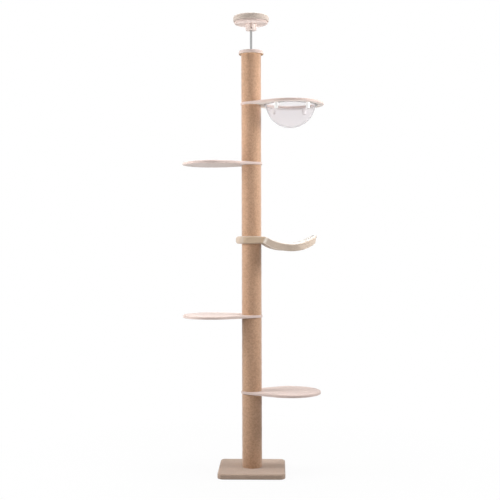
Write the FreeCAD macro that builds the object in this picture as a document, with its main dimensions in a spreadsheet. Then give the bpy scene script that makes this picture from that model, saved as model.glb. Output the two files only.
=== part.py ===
import FreeCAD, Part
import math
import os
import Sketcher

# Floor-to-ceiling cat tree, in millimetres.
# Frame: +Z up, origin on the floor under the middle of the base, on the axis of the post.
# The bowl, the cradle and the lower right shelf point along +X, the other shelves along -X.
# Every size below is a cell of the spreadsheet "Sizes", and the pieces are bound to those cells.

SIZES = [
    ("underlay_side", 380), ("underlay_corner", 26), ("underlay_thick", 3),
    ("base_side", 400), ("base_top", 33), ("base_corner", 34), ("base_edge", 7),
    ("bolt_radius", 4.95), ("bolt_hole", 5.3), ("bolt_head", 9), ("bolt_head_tall", 6),
    ("bolt_recess", 15), ("bolt_recess_deep", 10), ("washer_radius", 13), ("washer_thick", 2),
    ("post_radius", 60), ("rope_thick", 6), ("tube_wall", 6), ("fit_gap", 0.1),
    ("plug_thick", 18), ("insert_radius", 7), ("stud_grip", 16),
    ("segment_long", 444), ("segment_fifth", 344), ("segment_sixth", 290),
    ("plate_gap", 16), ("turn_gap", 0.3), ("cover_wall", 3), ("cover_edge", 5), ("cover_hem", 2),
    ("shelf_small", 65), ("shelf_big", 182), ("shelf_reach", 234),
    ("ring_small", 65), ("ring_big", 200), ("ring_reach", 237), ("ring_hole", 153),
    ("cradle_small", 95), ("cradle_big", 168), ("cradle_reach", 234), ("cradle_inset", 14),
    ("cradle_bend", 30), ("cradle_sweep", 305), ("cradle_dip", 44), ("cradle_low_x", 227),
    ("cradle_tip_x", 410), ("cradle_pad_thick", 46), ("cradle_collar", 62), ("cradle_turn", 7),
    ("bowl_radius", 151), ("bowl_rise", 13.2), ("bowl_wall", 3),
    ("bowl_flange", 163), ("bowl_flange_thick", 4),
    ("clamp_circle", 170), ("clamp_angle", 33.1), ("clamp_turn", 2.7), ("clamp_screw", 2.5),
    ("clamp_head", 5), ("clamp_head_tall", 3), ("clamp_spacer", 6), ("clamp_knob", 13.5),
    ("clamp_knob_tall", 34),
    ("cap_radius", 75), ("cap_thick", 20), ("cap_edge", 7), ("cap_screw", 2), ("cap_screw_long", 30),
    ("cap_screw_circle", 34), ("rod_radius", 7), ("rod_fit", 0.05), ("rod_bottom", 2385),
    ("rod_nut_radius", 12), ("rod_nut_flange", 22), ("rod_nut_flange_thick", 3),
    ("knob_radius", 33), ("knob_tall", 38.5), ("knob_bottom", 2668), ("knob_lip", 5),
    ("knob_valley", 8), ("knob_valley_out", 35), ("knob_valleys", 6), ("knob_edge", 2),
    ("disc_bottom", 2707), ("lower_disc_radius", 100), ("lower_disc_thick", 12), ("lower_disc_edge", 9),
    ("upper_disc_radius", 107.5), ("upper_disc_thick", 33), ("upper_disc_edge", 8),
    ("grip_radius", 85), ("grip_thick", 2), ("socket_radius", 15), ("socket_flange", 22),
    ("socket_flange_thick", 3), ("socket_depth", 10), ("socket_screw_circle", 18.5),
    ("small_screw", 1.6), ("small_head", 3.2), ("small_screw_long", 11),
    ("disc_screw_circle", 72), ("disc_screw", 2), ("disc_screw_head", 4), ("disc_screw_long", 32),
]

doc = FreeCAD.newDocument("cat_tree")
sheet = doc.addObject("Spreadsheet::Sheet", "Sizes")
for row, (alias, number) in enumerate(SIZES, start=1):
    sheet.set("A%d" % row, alias)
    sheet.set("B%d" % row, str(number))
    sheet.setAlias("B%d" % row, alias)
doc.recompute()

nodes = []


def size(alias):
    """The number that a cell of the sheet holds."""
    return float(sheet.get(alias))


def node(thing, name):
    """Name a finished piece and keep it for export."""
    thing.Label = name
    nodes.append(thing)
    return thing


def segment_bottom(number):
    """Expression for the height at which rope-wrapped segment 1 to 7 starts; 7 is the cap."""
    pitches = min(number - 1, 4)
    level = "Sizes.base_top + %d * (Sizes.segment_long + Sizes.plate_gap)" % pitches
    if number > 5:
        level += " + Sizes.segment_fifth + Sizes.plate_gap"
    if number > 6:
        level += " + Sizes.segment_sixth"
    return level


def segment_length(number):
    """Expression for the length of a rope-wrapped segment."""
    names = {5: "segment_fifth", 6: "segment_sixth"}
    return "Sizes." + names.get(number, "segment_long")


def plate_bottom(number):
    """Expression for the underside of the plate that stands on segment `number`."""
    return segment_bottom(number) + " + " + segment_length(number) + " + Sizes.turn_gap"


# ---- shapes made from primitives ----

def cylinder(radius, tall, bottom, x="0", y="0"):
    """Upright cylinder; every argument is an expression."""
    thing = doc.addObject("Part::Cylinder", "Cylinder")
    thing.setExpression("Radius", radius)
    thing.setExpression("Height", tall)
    thing.setExpression("Placement.Base.x", x)
    thing.setExpression("Placement.Base.y", y)
    thing.setExpression("Placement.Base.z", bottom)
    return thing


def cone(low_radius, high_radius, tall, bottom, x="0", y="0"):
    """Upright cone; every argument is an expression."""
    thing = doc.addObject("Part::Cone", "Cone")
    thing.setExpression("Radius1", low_radius)
    thing.setExpression("Radius2", high_radius)
    thing.setExpression("Height", tall)
    thing.setExpression("Placement.Base.x", x)
    thing.setExpression("Placement.Base.y", y)
    thing.setExpression("Placement.Base.z", bottom)
    return thing


def cut(base, tool):
    thing = doc.addObject("Part::Cut", "Cut")
    thing.Base = base
    thing.Tool = tool
    return thing


def common(first, second):
    thing = doc.addObject("Part::Common", "Common")
    thing.Base = first
    thing.Tool = second
    return thing


def fuse(*pieces):
    thing = doc.addObject("Part::MultiFuse", "Fusion")
    thing.Shapes = list(pieces)
    return thing


def group(pieces):
    """Separate solids that share one node."""
    thing = doc.addObject("Part::Compound", "Group")
    thing.Links = list(pieces)
    return thing


def tube(outer, inner, tall, bottom):
    """Upright tube; every argument is an expression."""
    return cut(cylinder(outer, tall, bottom), cylinder(inner, tall, bottom))


def around(circle, count, first_angle, x="0"):
    """Expressions for the centres of `count` places on a circle about (x, 0)."""
    places = []
    for index in range(count):
        angle = "%g deg" % (first_angle + 360.0 * index / count)
        places.append((x + " + %s * cos(%s)" % (circle, angle), "%s * sin(%s)" % (circle, angle)))
    return places


# ---- shapes made from sketches ----

def start_body(name):
    return doc.addObject("PartDesign::Body", name)


def sketch_in(body, role):
    """Empty sketch on one of the body's own origin planes."""
    sketch = body.newObject("Sketcher::SketchObject", "Sketch")
    plane = [feature for feature in body.Origin.OriginFeatures if feature.Role == role][0]
    sketch.AttachmentSupport = (plane, [""])
    sketch.MapMode = "FlatFace"
    return sketch


def dimension(sketch, name, expression, *constraint):
    """Driving dimension of a sketch, bound to the sheet."""
    index = sketch.addConstraint(Sketcher.Constraint(*constraint))
    sketch.renameConstraint(index, name)
    sketch.setExpression("Constraints." + name, expression)


def flat(x, y):
    return FreeCAD.Vector(x, y, 0)


def arc(x, y, radius, first, last):
    """Arc of a circle, counter-clockwise, between two angles in degrees."""
    circle = Part.Circle(flat(x, y), FreeCAD.Vector(0, 0, 1), radius)
    return Part.ArcOfCircle(circle, math.radians(first), math.radians(last))


def circle_in(sketch, name, radius, start, x="0", start_x=0.0):
    """Circle centred on the sketch's X axis."""
    whole = Part.Circle(flat(start_x, 0), FreeCAD.Vector(0, 0, 1), start)
    index = sketch.addGeometry(whole, False)
    if start_x:
        sketch.addConstraint(Sketcher.Constraint("PointOnObject", index, 3, -1))
        dimension(sketch, name + "_x", x, "DistanceX", -1, 1, index, 3, start_x)
    else:
        sketch.addConstraint(Sketcher.Constraint("Coincident", index, 3, -1, 1))
    dimension(sketch, name, radius, "Radius", index, start)


def square_in(sketch, side, start):
    """Square centred on the origin."""
    half = start / 2.0
    corners = [(-half, -half), (half, -half), (half, half), (-half, half)]
    for index in range(4):
        first, last = corners[index], corners[(index + 1) % 4]
        sketch.addGeometry(Part.LineSegment(flat(*first), flat(*last)), False)
    for index in range(4):
        sketch.addConstraint(Sketcher.Constraint("Coincident", index, 2, (index + 1) % 4, 1))
        sketch.addConstraint(Sketcher.Constraint(("Horizontal", "Vertical")[index % 2], index))
    sketch.addConstraint(Sketcher.Constraint("Symmetric", 0, 1, 1, 2, -1, 1))
    dimension(sketch, "wide", side, "DistanceX", 0, 1, 0, 2, start)
    dimension(sketch, "deep", side, "DistanceY", 1, 1, 1, 2, start)


def teardrop_in(sketch, kind, inset=None):
    """Outline of a plate: a small round end about the post, a big round end at its reach,
    and the two straight lines that touch both. `inset` draws it that much smaller."""
    less = " - Sizes." + inset if inset else ""
    shrink = size(inset) if inset else 0.0
    small = size(kind + "_small") - shrink
    big = size(kind + "_big") - shrink
    reach = size(kind + "_reach")
    lean = math.degrees(math.acos((small - big) / reach))
    slope = math.radians(lean)
    top_small = flat(small * math.cos(slope), small * math.sin(slope))
    top_big = flat(reach + big * math.cos(slope), big * math.sin(slope))
    sketch.addGeometry(arc(0, 0, small, lean, 360 - lean), False)
    sketch.addGeometry(Part.LineSegment(flat(top_small.x, -top_small.y), flat(top_big.x, -top_big.y)), False)
    sketch.addGeometry(arc(reach, 0, big, -lean, lean), False)
    sketch.addGeometry(Part.LineSegment(top_big, top_small), False)
    for first, end, second, begin in ((0, 2, 1, 1), (1, 2, 2, 1), (2, 2, 3, 1), (3, 2, 0, 1)):
        sketch.addConstraint(Sketcher.Constraint("Tangent", first, end, second, begin))
    sketch.addConstraint(Sketcher.Constraint("Coincident", 0, 3, -1, 1))
    sketch.addConstraint(Sketcher.Constraint("PointOnObject", 2, 3, -1))
    dimension(sketch, "small", "Sizes.%s_small%s" % (kind, less), "Radius", 0, small)
    dimension(sketch, "big", "Sizes.%s_big%s" % (kind, less), "Radius", 2, big)
    dimension(sketch, "reach", "Sizes.%s_reach" % kind, "DistanceX", -1, 1, 2, 3, reach)


def extrude(body, sketch, tall, both_ways=False):
    feature = body.newObject("PartDesign::Pad", "Pad")
    feature.Profile = sketch
    if both_ways:
        feature.SideType = "Symmetric"
    feature.setExpression("Length", tall)
    doc.recompute()
    return feature


def pocket(body, sketch, depth=None, from_below=False):
    """Hole or recess; with no depth it goes right through."""
    before = body.Shape.Volume
    feature = body.newObject("PartDesign::Pocket", "Pocket")
    feature.Profile = sketch
    feature.Reversed = from_below
    if depth:
        feature.setExpression("Length", depth)
    else:
        feature.Type = "ThroughAll"
    doc.recompute()
    if body.Shape.Volume > before - 1.0:
        raise RuntimeError("a pocket of %s cut nothing" % body.Name)
    return feature


def round_edges(body, radius, wanted):
    """Fillet every edge of the body's tip for which wanted(edge) is true."""
    tip = body.Tip
    names = ["Edge%d" % (index + 1) for index, edge in enumerate(tip.Shape.Edges) if wanted(edge)]
    feature = body.newObject("PartDesign::Fillet", "Fillet")
    feature.Base = (tip, names)
    feature.setExpression("Radius", radius)
    doc.recompute()
    return feature


def level_edges(height):
    """Test for edges that lie flat at one height of the body."""
    def wanted(edge):
        box = edge.BoundBox
        return abs(box.ZMin - height) < 0.01 and abs(box.ZMax - height) < 0.01
    return wanted


def upright(edge):
    box = edge.BoundBox
    return box.ZLength > 1.0 and box.XLength < 0.01 and box.YLength < 0.01


def place(thing, bottom, turned=False):
    """Lift a body to its height and, for the left-hand arms, turn it half round the post."""
    if turned:
        thing.Placement = FreeCAD.Placement(flat(0, 0), FreeCAD.Rotation(FreeCAD.Vector(0, 0, 1), 180))
    thing.setExpression("Placement.Base.z", bottom)


def disc_body(name, radius, start, tall, bottom, hole=None, hole_start=0.0):
    """Round plate with an optional centre hole; radius, tall, bottom and hole are expressions."""
    body = start_body(name)
    sketch = sketch_in(body, "XY_Plane")
    circle_in(sketch, "outer", radius, start)
    if hole:
        circle_in(sketch, "inner", hole, hole_start)
    extrude(body, sketch, tall)
    place(body, bottom)
    return body


def levels_of(body):
    """Lowest and highest level of a body's own shape."""
    box = body.Tip.Shape.BoundBox
    return box.ZMin, box.ZMax


# ---- base ----

def make_base():
    board_top = "Sizes.base_top - Sizes.cover_wall"
    underlay = start_body("base_underlay_sheet")
    sketch = sketch_in(underlay, "XY_Plane")
    square_in(sketch, "Sizes.underlay_side", size("underlay_side"))
    circle_in(sketch, "bolt", "Sizes.bolt_recess", size("bolt_recess"))
    extrude(underlay, sketch, "Sizes.underlay_thick")
    round_edges(underlay, "Sizes.underlay_corner", upright)
    node(underlay, "base_underlay")

    board = start_body("base_board")
    sketch = sketch_in(board, "XY_Plane")
    square_in(sketch, "Sizes.base_side - 2 * Sizes.cover_wall", size("base_side") - 2 * size("cover_wall"))
    circle_in(sketch, "bolt", "Sizes.bolt_hole", size("bolt_hole"))
    extrude(board, sketch, board_top + " - Sizes.underlay_thick")
    recess = sketch_in(board, "XY_Plane")
    circle_in(recess, "recess", "Sizes.bolt_recess", size("bolt_recess"))
    pocket(board, recess, "Sizes.bolt_recess_deep", from_below=True)
    round_edges(board, "Sizes.base_corner - Sizes.cover_wall", upright)
    round_edges(board, "Sizes.base_edge - Sizes.cover_wall",
                outline_at(levels_of(board)[1], size("bolt_recess") + 1))
    place(board, "Sizes.underlay_thick")
    node(board, "base_board")

    blank = start_body("base_blank")
    sketch = sketch_in(blank, "XY_Plane")
    square_in(sketch, "Sizes.base_side", size("base_side"))
    circle_in(sketch, "bolt", "Sizes.bolt_hole", size("bolt_hole"))
    extrude(blank, sketch, "Sizes.base_top - Sizes.underlay_thick")
    round_edges(blank, "Sizes.base_corner", upright)
    round_edges(blank, "Sizes.base_edge", outline_at(levels_of(blank)[1], size("bolt_recess")))
    place(blank, "Sizes.underlay_thick")
    opening = cylinder("Sizes.bolt_recess", "Sizes.bolt_recess_deep", "Sizes.underlay_thick")
    node(cut(blank, fuse(board, opening)), "base_cover")

    seat = "Sizes.underlay_thick + Sizes.bolt_recess_deep"
    node(tube("Sizes.washer_radius", "Sizes.bolt_hole", "Sizes.washer_thick", seat + " - Sizes.washer_thick"),
         "base_washer")
    head_bottom = seat + " - Sizes.washer_thick - Sizes.bolt_head_tall"
    head = doc.addObject("Part::Prism", "BoltHead")
    head.Polygon = 6
    head.setExpression("Circumradius", "Sizes.bolt_head")
    head.setExpression("Height", "Sizes.bolt_head_tall")
    head.setExpression("Placement.Base.z", head_bottom)
    shank_long = "Sizes.base_top + Sizes.stud_grip - (%s)" % (seat + " - Sizes.washer_thick")
    shank = cylinder("Sizes.bolt_radius", shank_long, seat + " - Sizes.washer_thick")
    node(fuse(head, shank), "base_bolt")


def outline_at(height, clear):
    """Test for flat edges at one height that lie further than `clear` from the post's axis."""
    flat_there = level_edges(height)

    def wanted(edge):
        box = edge.BoundBox
        outside = max(abs(box.XMin), abs(box.XMax), abs(box.YMin), abs(box.YMax)) > clear
        return flat_there(edge) and outside
    return wanted


# ---- post ----

def make_segment(number):
    """Rope sleeve, paper tube and the two plugs of one post segment."""
    bottom = segment_bottom(number)
    tall = segment_length(number)
    rope_inner = "Sizes.post_radius - Sizes.rope_thick"
    tube_outer = rope_inner + " - Sizes.fit_gap"
    tube_inner = rope_inner + " - Sizes.tube_wall"
    node(tube("Sizes.post_radius", rope_inner, tall, bottom), "rope_wrap_%d" % number)
    node(tube(tube_outer, tube_inner, tall, bottom), "post_tube_%d" % number)

    upper = "%s + %s - Sizes.plug_thick" % (bottom, tall)
    plug_radius = tube_inner + " - Sizes.fit_gap"
    low_plug = tube(plug_radius, "Sizes.insert_radius", "Sizes.plug_thick", bottom)
    if number < 6:
        high_plug = tube(plug_radius, "Sizes.insert_radius", "Sizes.plug_thick", upper)
    else:
        high_plug = cut(cylinder(plug_radius, "Sizes.plug_thick", upper), fuse(*nut_space(), cap_screw_set))
    node(group([low_plug, high_plug]), "end_plugs_%d" % number)

    insert_radius = "Sizes.insert_radius - Sizes.fit_gap / 2"
    sleeves = [tube(insert_radius, "Sizes.bolt_radius + Sizes.rod_fit", "Sizes.plug_thick", bottom)]
    if number < 6:
        sleeves.append(tube(insert_radius, "Sizes.bolt_radius + Sizes.rod_fit", "Sizes.plug_thick", upper))
    return sleeves


def nut_space():
    """Barrel and flange of the rod nut, in the top plug of the post."""
    top = segment_bottom(7)
    barrel = cylinder("Sizes.rod_nut_radius", "Sizes.plug_thick", top + " - Sizes.plug_thick")
    flange = cylinder("Sizes.rod_nut_flange", "Sizes.rod_nut_flange_thick",
                      top + " - Sizes.plug_thick - Sizes.rod_nut_flange_thick")
    return barrel, flange


def make_post():
    inserts = []
    for number in range(1, 7):
        inserts += make_segment(number)
    node(group(inserts), "plug_inserts")

    studs = []
    for number in range(1, 6):
        middle = "%s + %s" % (segment_bottom(number), segment_length(number))
        studs.append(cylinder("Sizes.bolt_radius", "Sizes.plate_gap + 2 * Sizes.stud_grip",
                              middle + " - Sizes.stud_grip"))
    node(group(studs), "connector_studs")

    nut_top = segment_bottom(7)
    bore = cylinder("Sizes.rod_radius + Sizes.rod_fit", "2 * Sizes.plug_thick",
                    nut_top + " - 1.5 * Sizes.plug_thick")
    node(cut(fuse(*nut_space()), bore), "rod_nut")


# ---- shelves ----

def plate_body(name, kind, tall, inset=None, hole=None):
    """Teardrop plate with the stud hole and, for the bowl ring, its big opening."""
    body = start_body(name)
    sketch = sketch_in(body, "XY_Plane")
    teardrop_in(sketch, kind, inset)
    circle_in(sketch, "stud", "Sizes.bolt_hole", size("bolt_hole"))
    if hole:
        grow = " + Sizes." + inset if inset else ""
        start = size("ring_hole") + (size(inset) if inset else 0.0)
        circle_in(sketch, "opening", "Sizes.ring_hole" + grow, start, "Sizes.ring_reach", size("ring_reach"))
    extrude(body, sketch, tall)
    return body


def make_plate(kind, number, place_name, turned=False, hole=False, screws=None):
    """Board and plush cover of one plate that is clamped on top of segment `number`."""
    bottom = plate_bottom(number)
    thick = "Sizes.plate_gap - 2 * Sizes.turn_gap"
    keep_off = size("bolt_hole") + 1
    board = plate_body(kind + "_board_" + place_name, kind, thick + " - Sizes.cover_wall", "cover_wall", hole)
    round_edges(board, "Sizes.cover_edge - Sizes.cover_wall", outline_at(levels_of(board)[1], keep_off))
    place(board, bottom, turned)

    blank = plate_body(kind + "_blank_" + place_name, kind, thick, None, hole)
    round_edges(blank, "Sizes.cover_edge", outline_at(levels_of(blank)[1], keep_off))
    round_edges(blank, "Sizes.cover_hem", outline_at(levels_of(blank)[0], keep_off))
    place(blank, bottom, turned)

    if screws:
        node(cut(board, screws), kind + "_board" + place_name)
        node(cut(cut(blank, board), screws), kind + "_cover" + place_name)
    else:
        node(board, kind + "_board" + place_name)
        node(cut(blank, board), kind + "_cover" + place_name)


# ---- bowl ----

def clamp_places():
    """Centres of the four bowl clamps, two on each side of the arm."""
    places = []
    for across in (1, -1):
        for along in (1, -1):
            angle = "(%d * Sizes.clamp_angle - %d * Sizes.clamp_turn) * 1 deg" % (along, across)
            places.append(("Sizes.ring_reach + Sizes.clamp_circle * sin(%s)" % angle,
                           "%d * Sizes.clamp_circle * cos(%s)" % (across, angle)))
    return places


def make_bowl():
    under = plate_bottom(5)
    over = under + " + Sizes.plate_gap - 2 * Sizes.turn_gap"
    knob_top = under + " - Sizes.bowl_flange_thick"
    knob_bottom = knob_top + " - Sizes.clamp_knob_tall"
    screws = []
    spacers = []
    knobs = []
    for x, y in clamp_places():
        shank = cylinder("Sizes.clamp_screw", "(%s) - (%s) + 20" % (over, knob_top), knob_top + " - 20", x, y)
        head = cone("Sizes.clamp_head", "0.6 * Sizes.clamp_head", "Sizes.clamp_head_tall", over, x, y)
        screws.append(fuse(shank, head))
        spacer = cylinder("Sizes.clamp_spacer", "Sizes.bowl_flange_thick", knob_top, x, y)
        spacers.append(cut(spacer, shank))
        low = cylinder("0.85 * Sizes.clamp_knob", "0.5 * Sizes.clamp_knob_tall", knob_bottom, x, y)
        high = cylinder("Sizes.clamp_knob", "0.5 * Sizes.clamp_knob_tall",
                        knob_bottom + " + 0.5 * Sizes.clamp_knob_tall", x, y)
        knobs.append(cut(fuse(low, high), shank))
    screw_set = node(group(screws), "bowl_screws")
    node(group(spacers), "bowl_spacers")
    node(group(knobs), "bowl_knobs")

    centre = under + " + Sizes.bowl_rise"
    caps = []
    for radius in ("Sizes.bowl_radius", "(Sizes.bowl_radius - Sizes.bowl_wall)"):
        cap = doc.addObject("Part::Sphere", "BowlCap")
        cap.setExpression("Radius", radius)
        cap.setExpression("Angle2", "-asin(Sizes.bowl_rise / %s)" % radius)
        cap.setExpression("Placement.Base.x", "Sizes.ring_reach")
        cap.setExpression("Placement.Base.z", centre)
        caps.append(cap)
    flange = cylinder("Sizes.bowl_flange", "Sizes.bowl_flange_thick", knob_top, "Sizes.ring_reach")
    node(cut(fuse(caps[0], flange), caps[1]), "clear_bowl")
    return screw_set


# ---- cradle ----

def cradle_profile(name, thick, thick_now, length):
    """Side view of the cradle carried across its width: flat about the post, a short bend
    down, then one long hollow arc up to the tip."""
    body = start_body(name)
    sketch = sketch_in(body, "XZ_Plane")
    half = thick_now / 2.0
    bend = size("cradle_bend")
    sweep = size("cradle_sweep")
    low_x = size("cradle_low_x")
    tip_x = size("cradle_tip_x")
    dip = size("cradle_dip")
    turn = math.acos(1.0 - dip / (bend + sweep))
    bend_x = low_x - (bend + sweep) * math.sin(turn)
    rise = math.asin((tip_x - low_x) / (sweep - half))
    low_z = sweep - dip
    start_bend = 90 - math.degrees(turn)
    start_sweep = 270 - math.degrees(turn)
    end_sweep = 270 + math.degrees(rise)
    left = -length
    inner_tip = flat(low_x + (sweep - half) * math.sin(rise), low_z - (sweep - half) * math.cos(rise))
    outer_tip = flat(low_x + (sweep + half) * math.sin(rise), low_z - (sweep + half) * math.cos(rise))
    for shape in (Part.LineSegment(flat(left, half), flat(bend_x, half)),
                  arc(bend_x, -bend, bend + half, start_bend, 90),
                  arc(low_x, low_z, sweep - half, start_sweep, end_sweep),
                  Part.LineSegment(inner_tip, outer_tip),
                  arc(low_x, low_z, sweep + half, start_sweep, end_sweep),
                  arc(bend_x, -bend, bend - half, start_bend, 90),
                  Part.LineSegment(flat(bend_x, -half), flat(left, -half)),
                  Part.LineSegment(flat(left, -half), flat(left, half))):
        sketch.addGeometry(shape, False)
    for kind, first, end, second, begin in (
            ("Tangent", 0, 2, 1, 2), ("Tangent", 1, 1, 2, 1), ("Perpendicular", 2, 2, 3, 1),
            ("Coincident", 3, 2, 4, 2), ("Tangent", 4, 1, 5, 1), ("Tangent", 5, 2, 6, 1),
            ("Coincident", 6, 2, 7, 1), ("Coincident", 7, 2, 0, 1),
            ("Coincident", 1, 3, 5, 3), ("Coincident", 2, 3, 4, 3)):
        sketch.addConstraint(Sketcher.Constraint(kind, first, end, second, begin))
    sketch.addConstraint(Sketcher.Constraint("Horizontal", 0))
    sketch.addConstraint(Sketcher.Constraint("Horizontal", 6))
    sketch.addConstraint(Sketcher.Constraint("Vertical", 7))
    dimension(sketch, "bend_over", "Sizes.cradle_bend + (%s) / 2" % thick, "Radius", 1, bend + half)
    dimension(sketch, "bend_under", "Sizes.cradle_bend - (%s) / 2" % thick, "Radius", 5, bend - half)
    dimension(sketch, "sweep_over", "Sizes.cradle_sweep - (%s) / 2" % thick, "Radius", 2, sweep - half)
    dimension(sketch, "low_x", "Sizes.cradle_low_x", "DistanceX", -1, 1, 2, 3, low_x)
    dimension(sketch, "low_z", "Sizes.cradle_sweep - Sizes.cradle_dip", "DistanceY", -1, 1, 2, 3, low_z)
    dimension(sketch, "back", "2 * Sizes.cradle_small", "DistanceX", 0, 1, -1, 1, length)
    dimension(sketch, "half", "(%s) / 2" % thick, "DistanceY", -1, 1, 0, 1, half)
    dimension(sketch, "tip", "Sizes.cradle_tip_x", "DistanceX", -1, 1, 3, 1, tip_x)
    extrude(body, sketch, "2 * Sizes.cradle_big + 40", both_ways=True)
    return body


def make_cradle():
    """Bent board clamped in the post, turned a little away from the front, and the thick plush
    pad that wraps it."""
    middle = "%s + %s + Sizes.plate_gap / 2" % (segment_bottom(3), segment_length(3))
    board_thick = "Sizes.plate_gap - 2 * Sizes.turn_gap"
    board_now = size("plate_gap") - 2 * size("turn_gap")
    length = 2 * size("cradle_small")
    parts = {}
    for name, thick, now, inset in (("board", board_thick, board_now, "cradle_inset"),
                                    ("pad", "Sizes.cradle_pad_thick", size("cradle_pad_thick"), None)):
        profile = cradle_profile("cradle_%s_side" % name, thick, now, length)
        place(profile, middle)
        profile.setExpression("Placement.Rotation.Angle", "Sizes.cradle_turn * 1 deg")
        outline = start_body("cradle_%s_plan" % name)
        sketch = sketch_in(outline, "XY_Plane")
        teardrop_in(sketch, "cradle", inset)
        circle_in(sketch, "stud", "Sizes.bolt_hole", size("bolt_hole"))
        extrude(outline, sketch, "8 * Sizes.cradle_pad_thick")
        place(outline, middle + " - 4 * Sizes.cradle_pad_thick")
        outline.setExpression("Placement.Rotation.Angle", "Sizes.cradle_turn * 1 deg")
        parts[name] = common(profile, outline)
    node(parts["board"], "cradle_board")
    collar = cylinder("Sizes.cradle_collar", "2 * Sizes.cradle_pad_thick",
                      middle + " - Sizes.cradle_pad_thick")
    node(cut(parts["pad"], fuse(parts["board"], collar)), "cradle_pad")


# ---- top of the post ----

def cap_screws():
    """Countersunk screws that hold the cap's board on the top plug."""
    top = segment_bottom(7) + " + Sizes.cap_thick - Sizes.cover_wall"
    screws = []
    for x, y in around("Sizes.cap_screw_circle", 4, 45):
        shank = cylinder("Sizes.cap_screw", "Sizes.cap_screw_long", top + " - Sizes.cap_screw_long", x, y)
        head = cone("Sizes.cap_screw", "2 * Sizes.cap_screw", "Sizes.cap_screw",
                    top + " - Sizes.cap_screw", x, y)
        screws.append(fuse(shank, head))
    return group(screws)


def make_cap():
    bottom = segment_bottom(7)
    thick = "Sizes.cap_thick"
    rod_hole = "Sizes.rod_radius + Sizes.turn_gap"
    hole_now = size("rod_radius") + size("turn_gap")
    board = disc_body("cap_board_disc", "Sizes.cap_radius - Sizes.cover_wall",
                      size("cap_radius") - size("cover_wall"), thick + " - Sizes.cover_wall", bottom,
                      rod_hole, hole_now)
    round_edges(board, "Sizes.cap_edge - Sizes.cover_wall", outline_at(levels_of(board)[1], 20))
    blank = disc_body("cap_blank", "Sizes.cap_radius", size("cap_radius"), thick, bottom, rod_hole, hole_now)
    round_edges(blank, "Sizes.cap_edge", outline_at(levels_of(blank)[1], 20))
    round_edges(blank, "Sizes.cover_hem", outline_at(levels_of(blank)[0], 20))
    node(cut(board, cap_screw_set), "cap_board")
    node(cut(blank, board), "cap_cover")
    node(cap_screw_set, "cap_screws")


# ---- ceiling tensioner ----

def make_knob():
    """Lobed hand knob with a plain lip at its lower end."""
    knob = disc_body("hand_knob", "Sizes.knob_radius", size("knob_radius"), "Sizes.knob_tall",
                     "Sizes.knob_bottom", "Sizes.rod_radius + Sizes.rod_fit", size("rod_radius"))
    round_edges(knob, "Sizes.knob_edge", outline_at(levels_of(knob)[0], 20))
    sketch = sketch_in(knob, "XY_Plane")
    sketch.setExpression("AttachmentOffset.Base.z", "Sizes.knob_tall")
    sketch.setExpression("AttachmentOffset.Rotation.Angle", "-90 deg")
    circle_in(sketch, "valley", "Sizes.knob_valley", size("knob_valley"),
              "Sizes.knob_valley_out", size("knob_valley_out"))
    valley = pocket(knob, sketch, "Sizes.knob_tall - Sizes.knob_lip")
    pattern = knob.newObject("PartDesign::PolarPattern", "Valleys")
    pattern.Originals = [valley]
    axis = [feature for feature in knob.Origin.OriginFeatures if feature.Role == "Z_Axis"][0]
    pattern.Axis = (axis, [""])
    pattern.Angle = 360
    pattern.setExpression("Occurrences", "Sizes.knob_valleys")
    knob.Tip = pattern
    doc.recompute()
    node(knob, "hand_knob")


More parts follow.
